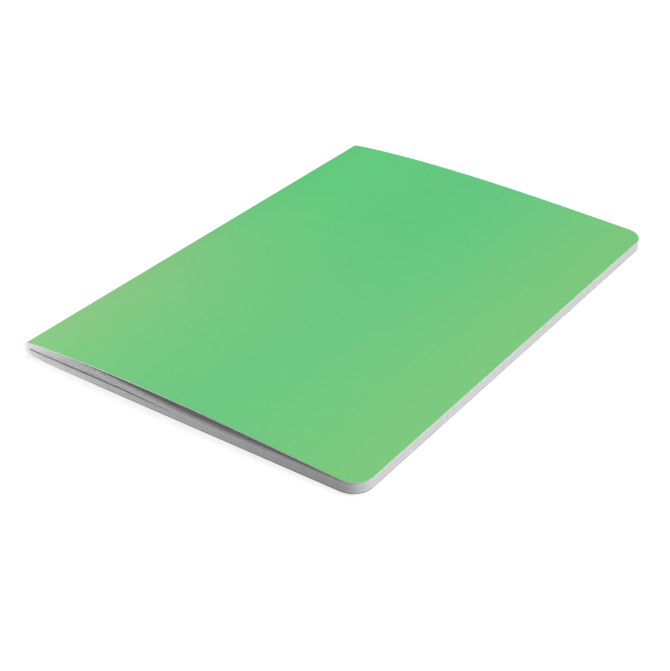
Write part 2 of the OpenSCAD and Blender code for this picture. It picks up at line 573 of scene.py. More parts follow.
@dataclass(frozen=True)
class CutCard(Finish):
    """The cut edge of the card: pale board layers, which may take a painted shade that darkens them away
    from the spine.
    """

    name: str = "cut_card_edge"
    roughness: float = 0.75
    specular: float = 0.2
    light: Colour = srgb(253, 253, 251)
    dark: Colour = srgb(238, 240, 236)
    grain: Grain = Grain(0.07 * MM, stretch=(12.0, 12.0, 1.0))
    # Painted shade, multiplied in away from the spine; white leaves the edge as it is.
    painted_shade: Colour = WHITE
    painted_shade_start: float = -70.0 * MM
    painted_shade_fade: float = 45.0 * MM

    def colour(self, graph: Graph, place: Term, grain: Term) -> Term:
        """Gives the board's colour, darkened by the painted shade away from the spine."""
        shade_share = smoothed((graph.split(place)[0] - self.painted_shade_start) / self.painted_shade_fade)
        return graph.blend(super().colour(graph, place, grain), self.painted_shade, shade_share, "MULTIPLY")


@dataclass(frozen=True)
class WritingPaper(Finish):
    """Plain white writing paper, matt, with a fine tooth and a faint cloudy formation."""

    name: str = "writing_paper"
    roughness: float = 0.85
    specular: float = 0.2
    light: Colour = srgb(244, 244, 243)
    dark: Colour = srgb(233, 233, 232)
    grain: Grain = Grain(0.25 * MM)
    relief: float = 0.006 * MM
    cloud: Grain = Grain(4.0 * MM, detail=4.0)

    def lightness(self, graph: Graph, place: Term, grain: Term) -> Term:
        """Gives the share of the light colour, from the clouds."""
        return self.cloud.spread(graph, place)


@dataclass(frozen=True)
class CutPaper(Finish):
    """The trimmed edges of the leaves: each its own shade, with faint streaks from the knife."""

    name: str = "trimmed_leaf_edge"
    roughness: float = 0.9
    specular: float = 0.15
    light: Colour = srgb(236, 235, 237)
    dark: Colour = srgb(184, 183, 187)
    grain: Grain = Grain(1.2 * MM, stretch=(1.0, 1.0, 20.0))
    tone_share: float = 0.65
    least_share: float = 0.15

    def lightness(self, graph: Graph, place: Term, grain: Term) -> Term:
        """Gives the share of the light colour, from the leaf's own tone and the streaks."""
        tone = graph.term("ShaderNodeAttribute", {"attribute_name": "tone"}, output="Fac")
        return clamped(mixed(grain, tone, self.tone_share) + self.least_share)


@dataclass(frozen=True)
class CottonThread(Finish):
    """White sewing thread with fine fibres and a soft sheen."""

    name: str = "sewing_thread"
    roughness: float = 0.7
    specular: float = 0.3
    light: Colour = srgb(250, 249, 244)
    dark: Colour = srgb(222, 219, 210)
    grain: Grain = Grain(0.08 * MM)
    sheen: float = 0.3


@dataclass
class Workshop:
    """Makes each finish once, and turns vertices and faces into scene objects."""

    finishes: dict[str, bpy.types.Material] = field(default_factory=dict)

    def material(self, finish: Finish) -> bpy.types.Material:
        """Gives the one material that is made for a finish.

        Args:
            finish: The finish.

        Returns:
            The material.
        """
        if finish.name not in self.finishes:
            self.finishes[finish.name] = finish.make()
        return self.finishes[finish.name]

    def piece(self, name: str, points: Iterable[Point], faces: Iterable[Sequence[int]],
              finishes: Sequence[Finish] = (), slots: Sequence[int] = ()) -> bpy.types.Object:
        """Makes an object from vertices and faces.

        Args:
            name: The object's name.
            points: The vertices.
            faces: The faces.
            finishes: The finishes of its material slots.
            slots: The slot of each face.

        Returns:
            The object, in the scene.
        """
        mesh = bpy.data.meshes.new(name)
        mesh.from_pydata(list(points), [], list(faces))
        for finish in finishes:
            mesh.materials.append(self.material(finish))
        if slots:
            mesh.polygons.foreach_set("material_index", list(slots))
        solid = bmesh.new()
        solid.from_mesh(mesh)
        bmesh.ops.recalc_face_normals(solid, faces=solid.faces)
        solid.to_mesh(mesh)
        solid.free()
        return self.shown(name, mesh)

    @staticmethod
    def shown(name: str, data: bpy.types.ID) -> bpy.types.Object:
        """Puts a mesh, a light or a camera into the scene.

        Args:
            name: The object's name.
            data: The mesh, light or camera.

        Returns:
            The object.
        """
        made = bpy.data.objects.new(name, data)
        bpy.context.scene.collection.objects.link(made)
        return made

    def baked(self, made: bpy.types.Object) -> bpy.types.Object:
        """Replaces an object by the plain mesh that its modifiers give.

        Args:
            made: The object.

        Returns:
            The new object, of the same name.
        """
        bpy.context.view_layer.update()
        evaluated = made.evaluated_get(bpy.context.evaluated_depsgraph_get())
        mesh = bpy.data.meshes.new_from_object(evaluated)
        name = made.name
        bpy.data.objects.remove(made)
        return self.shown(name, mesh)


def rounded(made: bpy.types.Object, angle: float) -> bpy.types.Object:
    """Shades an object smooth but for its sharp edges.

    Args:
        made: The object.
        angle: Edges that bend more than this stay sharp.

    Returns:
        The object.
    """
    made.data.shade_smooth()
    made.data.set_sharp_from_angle(angle=angle)
    return made


class Side(Enum):
    """The material slots of a card."""

    COATED = 0
    CUT = 1
    BARE = 2


@dataclass
class Shell:
    """The vertices and faces of a card's closed mesh while it is built."""

    points: list[Point] = field(default_factory=list)
    faces: list[tuple[int, ...]] = field(default_factory=list)
    slots: list[int] = field(default_factory=list)

    def point(self, x: float, y: float, z: float) -> int:
        """Adds a vertex and gives its number."""
        self.points.append((x, y, z))
        return len(self.points) - 1

    def face(self, side: Side, corners: Iterable[int]) -> None:
        """Adds a face between numbered vertices."""
        self.faces.append(tuple(corners))
        self.slots.append(side.value)

    def strip(self, first: Sequence[int], second: Sequence[int], sides: Sequence[Side]) -> None:
        """Joins two lines of vertices by a strip of faces; the sides repeat along it."""
        for k in range(len(first) - 1):
            self.face(sides[k % len(sides)], (first[k], first[k + 1], second[k + 1], second[k]))


@dataclass(frozen=True)
class Station:
    """One line across a card: where its two faces are, how far it reaches, and its way out."""

    outer: tuple[float, float]
    inner: tuple[float, float]
    reach: float
    out: tuple[float, float] = (0.0, 1.0)


@dataclass(frozen=True)
class Bend:
    """Where a piece would bend between two bodies, from start to end; nothing here makes the bend."""

    first: str
    second: str
    start: Point
    end: Point


@dataclass
class Card:
    """A stretch of the cover card, from one crease to its cut edge or to the other crease."""

    name: str
    node: str
    body: str
    stations: list[Station]
    rows: int
    rim: float
    cut_at_end: bool = False
    edge: CutCard = CutCard()
    sharp_angle: float = math.radians(12)
    # The cut edge is rounded: stand-out in shares of the rim, and share of the thickness.
    rim_profile: tuple[tuple[float, float], ...] = ((0.7, 0.05), (1.0, 0.2), (1.0, 0.82), (0.7, 0.95))

    def place(self, station: Station, share: float, row: int) -> Point:
        """Gives a point of the card.

        Args:
            station: The line that it is on.
            share: 0 on the outer face, 1 on the inner one.
            row: The row, from the tail.

        Returns:
            The point, from the crease plane.
        """
        x = mixed(station.outer[0], station.inner[0], share)
        z = mixed(station.outer[1], station.inner[1], share)
        return x, station.reach * (2 * row / self.rows - 1), z

    def build(self) -> Shell:
        """Builds the card as a closed shell.

        Returns:
            The shell, from the crease plane.
        """
        shell = Shell()
        stations = self.stations
        rows = range(self.rows + 1)
        outer = [[shell.point(*self.place(station, 0.0, row)) for row in rows] for station in stations]
        inner = [[shell.point(*self.place(station, 1.0, row)) for row in rows] for station in stations]
        for lines, side in ((outer, Side.COATED), (inner, Side.BARE)):
            for first, second in zip(lines, lines[1:]):
                shell.strip(first, second, [side])

        def edge_line(column: int, row: int, out: tuple[float, float]) -> list[int]:
            """Adds the cut edge's vertices at one place.

            Args:
                column: The station's number.
                row: The row.
                out: The edge's way out.

            Returns:
                The vertices from the outer face to the inner one.
            """
            between = []
            for stand, share in self.rim_profile:
                x, y, z = self.place(stations[column], share, row)
                stand_out = self.rim * stand
                between.append(shell.point(x + out[0] * stand_out, y + out[1] * stand_out, z))
            return [outer[column][row], *between, inner[column][row]]

        last = len(stations) - 1
        tail = [edge_line(i, 0, (station.out[0], -station.out[1])) for i, station in enumerate(stations)]
        head = [edge_line(i, self.rows, station.out) for i, station in enumerate(stations)]
        fore = [edge_line(last, row, (1.0, 0.0)) for row in rows[1:-1]] if self.cut_at_end else []
        edges = [tail + fore + head[::-1]] if self.cut_at_end else [tail, head]
        sides = [Side.COATED, Side.COATED, Side.CUT, Side.CUT, Side.BARE]
        for edge in edges:
            for first, second in zip(edge, edge[1:]):
                shell.strip(first, second, sides)
        for column in [0] if self.cut_at_end else [0, last]:
            shell.face(Side.CUT, tail[column])
            shell.face(Side.CUT, head[column])
            shell.strip(outer[column], inner[column], [Side.CUT])
        return shell

    def make(self, shop: Workshop, crease_x: float) -> bpy.types.Object:
        """Makes the card's object.

        Args:
            shop: The workshop.
            crease_x: Place of the crease plane.

        Returns:
            The object.
        """
        shell = self.build()
        points = [(x + crease_x, y, z) for x, y, z in shell.points]
        finishes = (CoatedCard(), self.edge, BareCard())
        return shop.piece(self.name, points, shell.faces, finishes, shell.slots)

    def fit(self, made: bpy.types.Object, bend: Bend | None = None) -> None:
        """Shades the card's object and ties it to the frame, or, if it has a bend, bakes it in place
        without making the bend.
        """
        tie(rounded(made, self.sharp_angle), self.node, self.body, bend)


def tie(made: bpy.types.Object, node: str, body: str, bend: Bend | None = None) -> None:
    """Ties a finished piece to the frame and reports it; a piece with a bend is only baked in place.

    Args:
        made: The piece.
        node: The solid that it stands for.
        body: The body that it moves with.
        bend: A bend, or None; with one the piece is baked in place instead of tied to its body, and the
            bend itself is not made.
    """
    if bend:
        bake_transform(made)
    else:
        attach(made, body)
    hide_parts(node)
    LOG.info("%s: %d faces, for %s on %s", made.name, len(made.data.polygons), node, body)


@dataclass
class Cover:
    """The folded cover card: front, spine strip and back."""

    section: Section
    seam: "Seam"
    bend_width: float = 0.8 * MM
    bend_steps: int = 12
    # The fine lines at a crease reach this many bend widths; past them the lines lie ever wider.
    fine_reach: float = 1.5
    plain_steps: int = 44
    plain_widening: float = 1.2
    corner_steps: int = 14
    fold_steps: int = 22
    rows: int = 28
    strip_rows: int = 561
    rim: float = 0.06 * MM
    # The back cover's cut edge, low by the table, takes a painted shade that greys it away from the spine.
    back_edge_shade: CutCard = CutCard(name="shaded_back_card_edge", painted_shade=srgb(178, 178, 180))

    def distances(self) -> list[tuple[float, float]]:
        """Gives each line's distance from the crease and its turn round the corner.

        Returns:
            Distance and turn, from the crease to the fore-edge.
        """
        corner = self.section.corner_x
        fine = self.bend_width * self.fine_reach
        near = [(fine * i / self.bend_steps, 0.0) for i in range(self.bend_steps)]
        shares = [(i / self.plain_steps) ** self.plain_widening for i in range(self.plain_steps)]
        plain = [(mixed(fine, corner, share), 0.0) for share in shares]
        radius = self.section.corner_radius - self.rim
        turns = [QUARTER_TURN * i / self.corner_steps for i in range(self.corner_steps + 1)]
        return near + plain + [(corner + radius * math.sin(turn), turn) for turn in turns]

    def board(self, outside: Callable[[float], float], inward: float) -> list[Station]:
        """Gives a cover's lines.

        Args:
            outside: Height of its outer face at a distance from the crease.
            inward: 1 if its inner face is above the outer one, -1 if below.

        Returns:
            The lines, from the crease to the fore-edge.
        """
        section = self.section
        straight = section.half_length - section.corner_radius
        radius = section.corner_radius - self.rim
        lines = []
        for x, turn in self.distances():
            height = outside(x)
            lines.append(Station(
                outer=(x, height),
                inner=(x, height + inward * section.card),
                reach=straight + radius * math.cos(turn),
                out=(math.sin(turn), math.cos(turn)),
            ))
        return lines

    def strip(self) -> list[Station]:
        """Gives the spine strip's lines.

        Returns:
            The lines, from the back crease round to the front crease.
        """
        section = self.section
        lines = []
        for step in range(-self.fold_steps, self.fold_steps + 1):
            turn = QUARTER_TURN * abs(step) / self.fold_steps
            faces = []
            for depth in (0.0, section.card):
                edge = section.crease_bottom + depth if step < 0 else section.crease_top - depth
                x = (depth - section.bulge) * (1.0 - section.fold_depth(turn))
                faces.append((x, mixed(section.fold_middle, edge, section.fold_height(turn))))
            lines.append(Station(faces[0], faces[1], section.half_length - self.rim))
        return lines

    def dress(self, shop: Workshop) -> None:
        """Builds the three stretches of the card; the bends of the front and back are listed but not made.

        Args:
            shop: The workshop.
        """
        section = self.section
        x = section.crease_x
        bent = x + self.bend_width
        top, bottom = section.crease_top, section.crease_bottom
        roof, bed = self.board(section.roof, -1.0), self.board(section.bed, 1.0)
        front = Card("front_cover_card", "front_cover", "front", roof, self.rows, self.rim, True)
        front.fit(front.make(shop, x), Bend("front", "signature", (bent, 0.0, top), (x, 0.0, top)))
        back = Card("back_cover_card", "back_cover", "back", bed, self.rows, self.rim, True,
                    self.back_edge_shade)
        back.fit(back.make(shop, x), Bend("signature", "back", (x, 0.0, bottom), (bent, 0.0, bottom)))
        spine = Card("spine_card", "spine", "signature", self.strip(), self.strip_rows, self.rim)
        spine.fit(self.seam.pierced(shop, spine.make(shop, x)))


class Setting(Enum):
    """The sockets that a geometry tree offers for its sizes."""

    NUMBER = "NodeSocketFloat"
    COUNT = "NodeSocketInt"
    MATERIAL = "NodeSocketMaterial"


class GeometryTree:
    """A Geometry Nodes tree with named inputs that ends in plain geometry."""

    def __init__(self, name: str, settings: dict[str, tuple[Setting, Any]]) -> None:
        """Starts a tree.

        Args:
            name: The tree's name.
            settings: Kind and value of each named input.
        """
        self.tree = bpy.data.node_groups.new(name, "GeometryNodeTree")
        sockets = self.tree.interface
        sockets.new_socket(name="Geometry", in_out="INPUT", socket_type="NodeSocketGeometry")
        self.values: dict[str, Any] = {}
        for label, (kind, value) in settings.items():
            socket = sockets.new_socket(name=label, in_out="INPUT", socket_type=kind.value)
            self.values[socket.identifier] = value
        sockets.new_socket(name="Geometry", in_out="OUTPUT", socket_type="NodeSocketGeometry")
        self.graph = Graph(self.tree)
        self.start = self.graph.node("NodeGroupInput")

    def given(self, label: str) -> Term:
        """Gives a named input."""
        return Term(self.graph, self.start.outputs[label])

    def position(self) -> tuple[Term, ...]:
        """Gives the three coordinates of each point."""
        return self.graph.split(self.graph.term("GeometryNodeInputPosition"))

    def attribute(self, name: str, kind: str) -> Term:
        """Reads a named attribute."""
        return self.graph.term("GeometryNodeInputNamedAttribute", {"data_type": kind}, {"Name": name})

    def stored(self, shape: Term, name: str, value: Any, kind: str, domain: str = "FACE") -> Term:
        """Stores a value as a named attribute of a shape.

        Args:
            shape: The shape.
            name: The attribute's name.
            value: Its value.
            kind: Its data type.
            domain: What each of its values belongs to.

        Returns:
            The shape with the attribute.
        """
        settings = {"data_type": kind, "domain": domain}
        sockets = {"Geometry": shape, "Name": name, "Value": value}
        return self.graph.term("GeometryNodeStoreNamedAttribute", settings, sockets)

    def chance(self, identity: Term, seed: Term) -> Term:
        """Gives a random number from 0 to 1 for each identity."""
        sockets = {"ID": identity, "Seed": seed}
        return self.graph.term("FunctionNodeRandomValue", {"data_type": "FLOAT"}, sockets, 1)

    def realized(self, shape: Term) -> Term:
        """Turns instances into plain geometry."""
        return self.graph.term("GeometryNodeRealizeInstances", sockets={"Geometry": shape})

    def finish(self, shape: Term, materials: Sequence[tuple[Any, Any]]) -> None:
        """Ends the tree in Realize Instances and Set Material.

        Args:
            shape: The geometry.
            materials: Each material with the faces that take it, or None for all.
        """
        shape = self.realized(shape)
        for material, faces in materials:
            sockets = {"Geometry": shape, "Material": material}
            if faces is not None:
                sockets["Selection"] = faces
            shape = self.graph.term("GeometryNodeSetMaterial", sockets=sockets)
        self.graph.node("NodeGroupOutput", sockets={0: shape})

    def run(self, made: bpy.types.Object) -> None:
        """Hangs the tree on an object and sets its inputs.

        Args:
            made: The object.
        """
        modifier = made.modifiers.new(self.tree.name, "NODES")
        modifier.node_group = self.tree
        for identifier, value in self.values.items():
            modifier[identifier] = value


@dataclass
class Signature:
    """The folded sheets, nested in each other and trimmed together with the cover."""

    section: Section
    seam: "Seam"
    sheets: int = 20
    bundle: int = 3
    leaf: float = 0.088 * MM
    # A leaf fills no more than this of its room, and chance moves it by this much of what is left.
    fullest: float = 0.97
    play: float = 0.9
    # How much of a sheet's shade is its own; the rest is its bundle's.
    own_shade: float = 0.5
    rows: int = 7
    fold_steps: int = 9
    plain_steps: int = 36
    corner_steps: int = 9
    seed: int = 11
    sharp_angle: float = math.radians(30)

    def pattern(self) -> tuple[list[Point], list[tuple[int, ...]], list[bool]]:
        """Gives one sheet as a closed flat shell in the rule's own coordinates.

        The first coordinate goes round the sheet: up to 1 over a fold's quarter, to 2 over the
        straight leaf and to 3 over the round corner, below zero for the lower leaf. The second is
        a share of the half length and the third is 0 outside and 1 inside.

        Returns:
            Points, faces, and whether each face is on a trimmed edge.
        """
        half = [i / self.fold_steps for i in range(self.fold_steps)]
        half += [1 + i / self.plain_steps for i in range(self.plain_steps)]
        half += [2 + i / self.corner_steps for i in range(self.corner_steps + 1)]
        places = [-value for value in reversed(half[1:])] + half
        points: list[Point] = []
        for side in (0.0, 1.0):
            points += [(q, 2 * row / self.rows - 1, side) for q in places for row in range(self.rows + 1)]
        line = self.rows + 1
        layer = line * len(places)
        faces: list[tuple[int, ...]] = []
        cut: list[bool] = []
        for i in range(len(places) - 1):
            for row in range(self.rows):
                a = i * line + row
                b = a + line
                faces.append((a, b, b + 1, a + 1))
                faces.append((a + layer, a + 1 + layer, b + 1 + layer, b + layer))
                cut += [False, False]
            low, high = i * line, i * line + self.rows
            faces.append((low, low + layer, low + line + layer, low + line))
            faces.append((high, high + line, high + line + layer, high + layer))
            cut += [True, True]
        last = (len(places) - 1) * line
        for row in range(self.rows):
            faces.append((row, row + 1, row + 1 + layer, row + layer))
            faces.append((last + row, last + row + layer, last + row + 1 + layer, last + row + 1))
            cut += [True, True]
        return points, faces, cut

    def bent(self, place: Term, share: Number) -> tuple[Number, Number]:
        """Bends a point of the flat pattern round the fold.

        Args:
            place: The pattern's first coordinate.
            share: Place in the stack, from 0 at the cover to 1 at the slit.

        Returns:
            Distance from the crease, and height.
        """
        section = self.section
        along = place.maths("ABSOLUTE")
        fold = clamped(along) * QUARTER_TURN
        turn = clamped(along - 2.0) * QUARTER_TURN
        left = section.layer - section.bulge + section.leaf_stack * share
        deep = mixed(section.bulge - section.layer, section.slit_gap / 2, share)
        straight = (section.corner_x - (left + deep)) * clamped(along - 1.0)
        across = left + deep * section.fold_depth(fold) + straight + section.corner_radius * sine(turn)
        lower, upper = section.lower_edge(across, share), section.upper_edge(across, share)
        edge = mixed(lower, upper, positive(place))
        return across, mixed(section.middle(across), edge, section.fold_height(fold))

    def room(self, place: Term, share: Number, following: Number) -> Term:
        """Gives the height that a sheet has between its two neighbours.

        Args:
            place: The pattern's first coordinate.
            share: The sheet's place in the stack.
            following: The next sheet's place.

        Returns:
            The height.
        """
        section = self.section
        x, _ = self.bent(place, share)
        lower = section.lower_edge(x, share) - section.lower_edge(x, following)
        upper = section.upper_edge(x, share) - section.upper_edge(x, following)
        return mixed(lower, upper, positive(place)).maths("ABSOLUTE")

    def nested(self, rule: GeometryTree, sheet: Term, chance: Term) -> Term:
        """Repeats the flat pattern and bends each copy to its place in the stack.

        Args:
            rule: The tree.
            sheet: The sheet's number, from 0 outside.
            chance: The sheet's random number.

        Returns:
            The sheets.
        """
        graph = rule.graph
        count = rule.given("Sheets")
        points = graph.term("GeometryNodeMeshLine", sockets={"Count": count, "Offset": (0, 0, 0)})
        copies = graph.term("GeometryNodeInstanceOnPoints",
                            sockets={"Points": points, "Instance": rule.given("Geometry")})
        index = graph.term("GeometryNodeInputIndex")
        flat = rule.realized(rule.stored(copies, "sheet", index, "FLOAT", "INSTANCE"))
        place, width, side = rule.position()
        share = sheet / count
        room = self.room(place, share, (sheet + 1.0) / count)
        filled = (rule.given("Leaf") / room).maths("MINIMUM", self.fullest)
        spare = (1.0 - filled) * chance * self.play
        x, z = self.bent(place, share + (spare + side * filled) / count)
        spot = graph.joined(x + self.section.crease_x, width * self.section.reach(x), z)
        return graph.term("GeometryNodeSetPosition", sockets={"Geometry": flat, "Position": spot})

    def tree(self, shop: Workshop) -> GeometryTree:
        """Builds the tree that nests the sheets, shades them and cuts the needle holes.

        Args:
            shop: The workshop.

        Returns:
            The tree.
        """
        section = self.section
        rule = GeometryTree("nested_sheets", self.seam.hole_settings() | {
            "Sheets": (Setting.COUNT, self.sheets),
            "Leaf": (Setting.NUMBER, self.leaf),
            "Seed": (Setting.COUNT, self.seed),
            "Paper": (Setting.MATERIAL, shop.material(WritingPaper())),
            "Trimmed edge": (Setting.MATERIAL, shop.material(CutPaper())),
        })
        seed = rule.given("Seed")
        sheet = rule.attribute("sheet", "FLOAT")
        chance = rule.chance(sheet, seed)
        bundle = (sheet / self.bundle).maths("FLOOR")
        shade = mixed(rule.chance(bundle, seed + 1.0), chance, self.own_shade)
        toned = rule.stored(self.nested(rule, sheet, chance), "tone", shade, "FLOAT")
        depth = 2 * (section.layer + section.leaf_stack + section.slit_gap / 2)
        pierced = self.seam.drilled(rule, toned, depth, 1.0, self.seam.sheet_hole_sides)
        cut = rule.attribute("trimmed", "BOOLEAN")
        rule.finish(pierced, [(rule.given("Paper"), None), (rule.given("Trimmed edge"), cut)])
        return rule

    def dress(self, shop: Workshop) -> None:
        """Builds the sheets and ties them to the frame.

        Args:
            shop: The workshop.
        """
        points, faces, cut = self.pattern()
        flat = shop.piece("folded_sheets", points, faces)
        trimmed = flat.data.attributes.new("trimmed", "BOOLEAN", "FACE")
        trimmed.data.foreach_set("value", cut)
        self.tree(shop).run(flat)
        tie(rounded(shop.baked(flat), self.sharp_angle), "text_block", "signature")


@dataclass
class Seam:
    """The machine seam: needle holes, needle thread and bobbin thread."""

    section: Section
    pitch: float = 5.2 * MM
    margin: float = 4.0 * MM
    diameter: float = 0.42 * MM
    clearance: float = 0.03 * MM
    lock_depth: float = 0.65
    # The needle thread sinks this much on its way to a hole, and is this far in as it enters.
    dip_start: float = 0.06 * MM
    dip_entry: float = 0.12 * MM
    # The bobbin thread has risen this much as it enters.
    rise_entry: float = 0.1 * MM
    plies: int = 3
    # The plies are pressed together, so each is thicker than if they only touched.
    ply_press: float = 1.12
    twist: float = 1.5 * MM
    step: float = 0.14 * MM
    dimple_radius: float = 1.5 * MM
    dimple_depth: float = 0.14 * MM
    hole_oval: float = 0.6
    # Length of the drills through the card, in thicknesses of the card.
    drill_length: float = 6.0
    card_hole_sides: int = 30
    sheet_hole_sides: int = 13
    ply_sides: int = 6

    @property
    def stitches(self) -> int:
        """Number of stitches."""
        return math.floor((2 * self.section.half_length - 2 * self.margin) / self.pitch)

    @property
    def offset(self) -> float:
        """Distance of each strand from the middle of its needle hole."""
        return self.diameter + self.clearance

    @property
    def hole_radius(self) -> float:
        """Radius of a needle hole."""
        return self.offset + self.diameter / 2 + self.clearance

    @property
    def lock_x(self) -> float:
        """Where the two threads cross, from the crease plane."""
        return mixed(-self.section.bulge, self.section.slit_start, self.lock_depth)

    @property
    def lock_half(self) -> float:
        """Distance of each thread's middle from where they cross."""
        return (self.diameter + self.clearance) / 2

    @property
    def ply_radius(self) -> float:
        """Radius of a ply, from three equal circles that fill the thread's own, then pressed."""
        return self.diameter / 2 / (1 + 2 / math.sqrt(3)) * self.ply_press

    def holes(self) -> list[float]:
        """Gives the holes' places along the spine."""
        first = -self.stitches * self.pitch / 2
        return [first + i * self.pitch for i in range(self.stitches + 1)]

    def needle_dip(self, y: float) -> list[Point]:
        """Gives the needle thread's way through one hole and back.

        Args:
            y: The hole's place along the spine.

        Returns:
            The points, from the crease plane and the fold's middle.
        """
        outside = -self.section.bulge
        run = outside - self.clearance - self.diameter / 2
        g = self.offset
        deep = self.lock_x + self.lock_half
        turned = self.lock_x - self.lock_half - self.diameter / 2
        way_in = [
            (run, y - g - self.diameter, 0.0),
            (run + self.dip_start, y - g - self.diameter / 3, 0.0),
            (outside + self.dip_entry, y - g, 0.0),
            (turned, y, g),
            (deep - g / 2, y, g),
            (deep, y, g / 2),
        ]
        return way_in + [(x, 2 * y - along, -up) for x, along, up in reversed(way_in)]

    def bobbin_rise(self, y: float) -> list[Point]:
        """Gives the bobbin thread's way up one hole and back.

        Args:
            y: The hole's place along the spine.

        Returns:
            The points, from the crease plane and the fold's middle.
        """
        run = self.section.slit_start + self.clearance + self.diameter / 2
        g = self.offset
        high = self.lock_x - self.lock_half
        way_in = [
            (run, y - g - self.diameter, 0.0),
            (run - self.rise_entry, y - g, 0.0),
            (high + g / 2, y - g, 0.0),
            (high, y - g / 2, 0.0),
        ]
        return way_in + [(x, 2 * y - along, up) for x, along, up in reversed(way_in)]

    def twisted(self, shop: Workshop, name: str) -> GeometryTree:
        """Builds the tree that lays a thread's plies round its route.

        Args:
            shop: The workshop.
            name: The thread's name.

        Returns:
            The tree.
        """
        rule = GeometryTree("twisted_" + name, {
            "Plies": (Setting.COUNT, self.plies),
            "Ply radius": (Setting.NUMBER, self.ply_radius),
            "Lay": (Setting.NUMBER, self.diameter / 2 - self.ply_radius),
            "Twist": (Setting.NUMBER, self.twist),
            "Step": (Setting.NUMBER, self.step),
            "Sides": (Setting.COUNT, self.ply_sides),
            "Thread": (Setting.MATERIAL, shop.material(CottonThread())),
        })
        graph = rule.graph
        plies, lay = rule.given("Plies"), rule.given("Lay")
        line = graph.term("GeometryNodeMeshToCurve", sockets={0: rule.given("Geometry")})
        soft = graph.term("GeometryNodeCurveSplineType", {"spline_type": "CATMULL_ROM"}, {0: line})
        fine = graph.term("GeometryNodeResampleCurve", {"mode": "LENGTH"},
                          {"Curve": soft, "Length": rule.given("Step")})
        copies = graph.node("GeometryNodeDuplicateElements", {"domain": "SPLINE"},
                            {"Geometry": fine, "Amount": plies})
        ply = Term(graph, copies.outputs["Duplicate Index"])
        length = graph.term("GeometryNodeSplineParameter", output="Length")
        turn = length / rule.given("Twist") * FULL_TURN + ply / plies * FULL_TURN
        normal = graph.term("GeometryNodeInputNormal")
        tangent = graph.term("GeometryNodeInputTangent")
        across = graph.vector_maths("CROSS_PRODUCT", {0: tangent, 1: normal})
        shift = graph.vector_maths("ADD", {
            0: graph.vector_maths("SCALE", {0: normal, "Scale": turn.maths("COSINE") * lay}),
            1: graph.vector_maths("SCALE", {0: across, "Scale": turn.maths("SINE") * lay}),
        })
        laid = graph.term("GeometryNodeSetPosition",
                          sockets={"Geometry": copies.outputs["Geometry"], "Offset": shift})
        ring = graph.term("GeometryNodeCurvePrimitiveCircle",
                          sockets={"Resolution": rule.given("Sides"), "Radius": rule.given("Ply radius")})
        tube = graph.term("GeometryNodeCurveToMesh",
                          sockets={"Curve": laid, "Profile Curve": ring, "Fill Caps": True})
        smooth = graph.term("GeometryNodeSetShadeSmooth", sockets={"Geometry": tube})
        rule.finish(smooth, [(rule.given("Thread"), None)])
        return rule

    def thread(self, shop: Workshop, name: str, way: Callable[[float], list[Point]]) -> bpy.types.Object:
        """Twists a thread along its route through all the holes.

        Args:
            shop: The workshop.
            name: The piece's name.
            way: Its way through the hole at a place along the spine.

        Returns:
            The thread as a plain mesh.
        """
        shift_x, shift_z = self.section.crease_x, self.section.fold_middle
        route = [(x + shift_x, along, z + shift_z) for y in self.holes() for x, along, z in way(y)]
        mesh = bpy.data.meshes.new(name)
        mesh.from_pydata(route, [(i, i + 1) for i in range(len(route) - 1)], [])
        made = shop.shown(name, mesh)
        self.twisted(shop, name).run(made)
        return shop.baked(made)

    def hole_settings(self) -> dict[str, tuple[Setting, Any]]:
        """Gives the tree inputs that place and size the holes.

        Returns:
            Kind and value of each input.
        """
        holes = self.holes()
        return {
            "Holes": (Setting.COUNT, len(holes)),
            "First": (Setting.NUMBER, holes[0]),
            "Pitch": (Setting.NUMBER, self.pitch),
            "Radius": (Setting.NUMBER, self.hole_radius),
        }

    def dimpled(self, rule: GeometryTree) -> Term:
        """Presses the outside of the card in round each needle hole.

        Args:
            rule: A tree with the inputs of hole_settings and of the dimples.

        Returns:
            The tree's geometry with the dimples.
        """
        graph = rule.graph
        x, y, z = rule.position()
        step = (y - rule.given("First")) / rule.given("Pitch")
        nearest = (step + 0.5).maths("FLOOR")
        along = (step - nearest) * rule.given("Pitch")
        up = z - self.section.fold_middle
        away = root(along * along + up * up)
        floor = rule.given("Radius") * self.hole_oval
        press = 1.0 - smoothed((away - floor) / (rule.given("Dimple radius") - floor))
        in_seam = positive(nearest + 0.5) * positive(rule.given("Holes") - 0.5 - nearest)
        outside = positive(self.section.strip_x - x)
        sink = graph.joined(press * rule.given("Dimple depth") * in_seam * outside, 0.0, 0.0)
        return graph.term("GeometryNodeSetPosition",
                          sockets={"Geometry": rule.given("Geometry"), "Offset": sink})

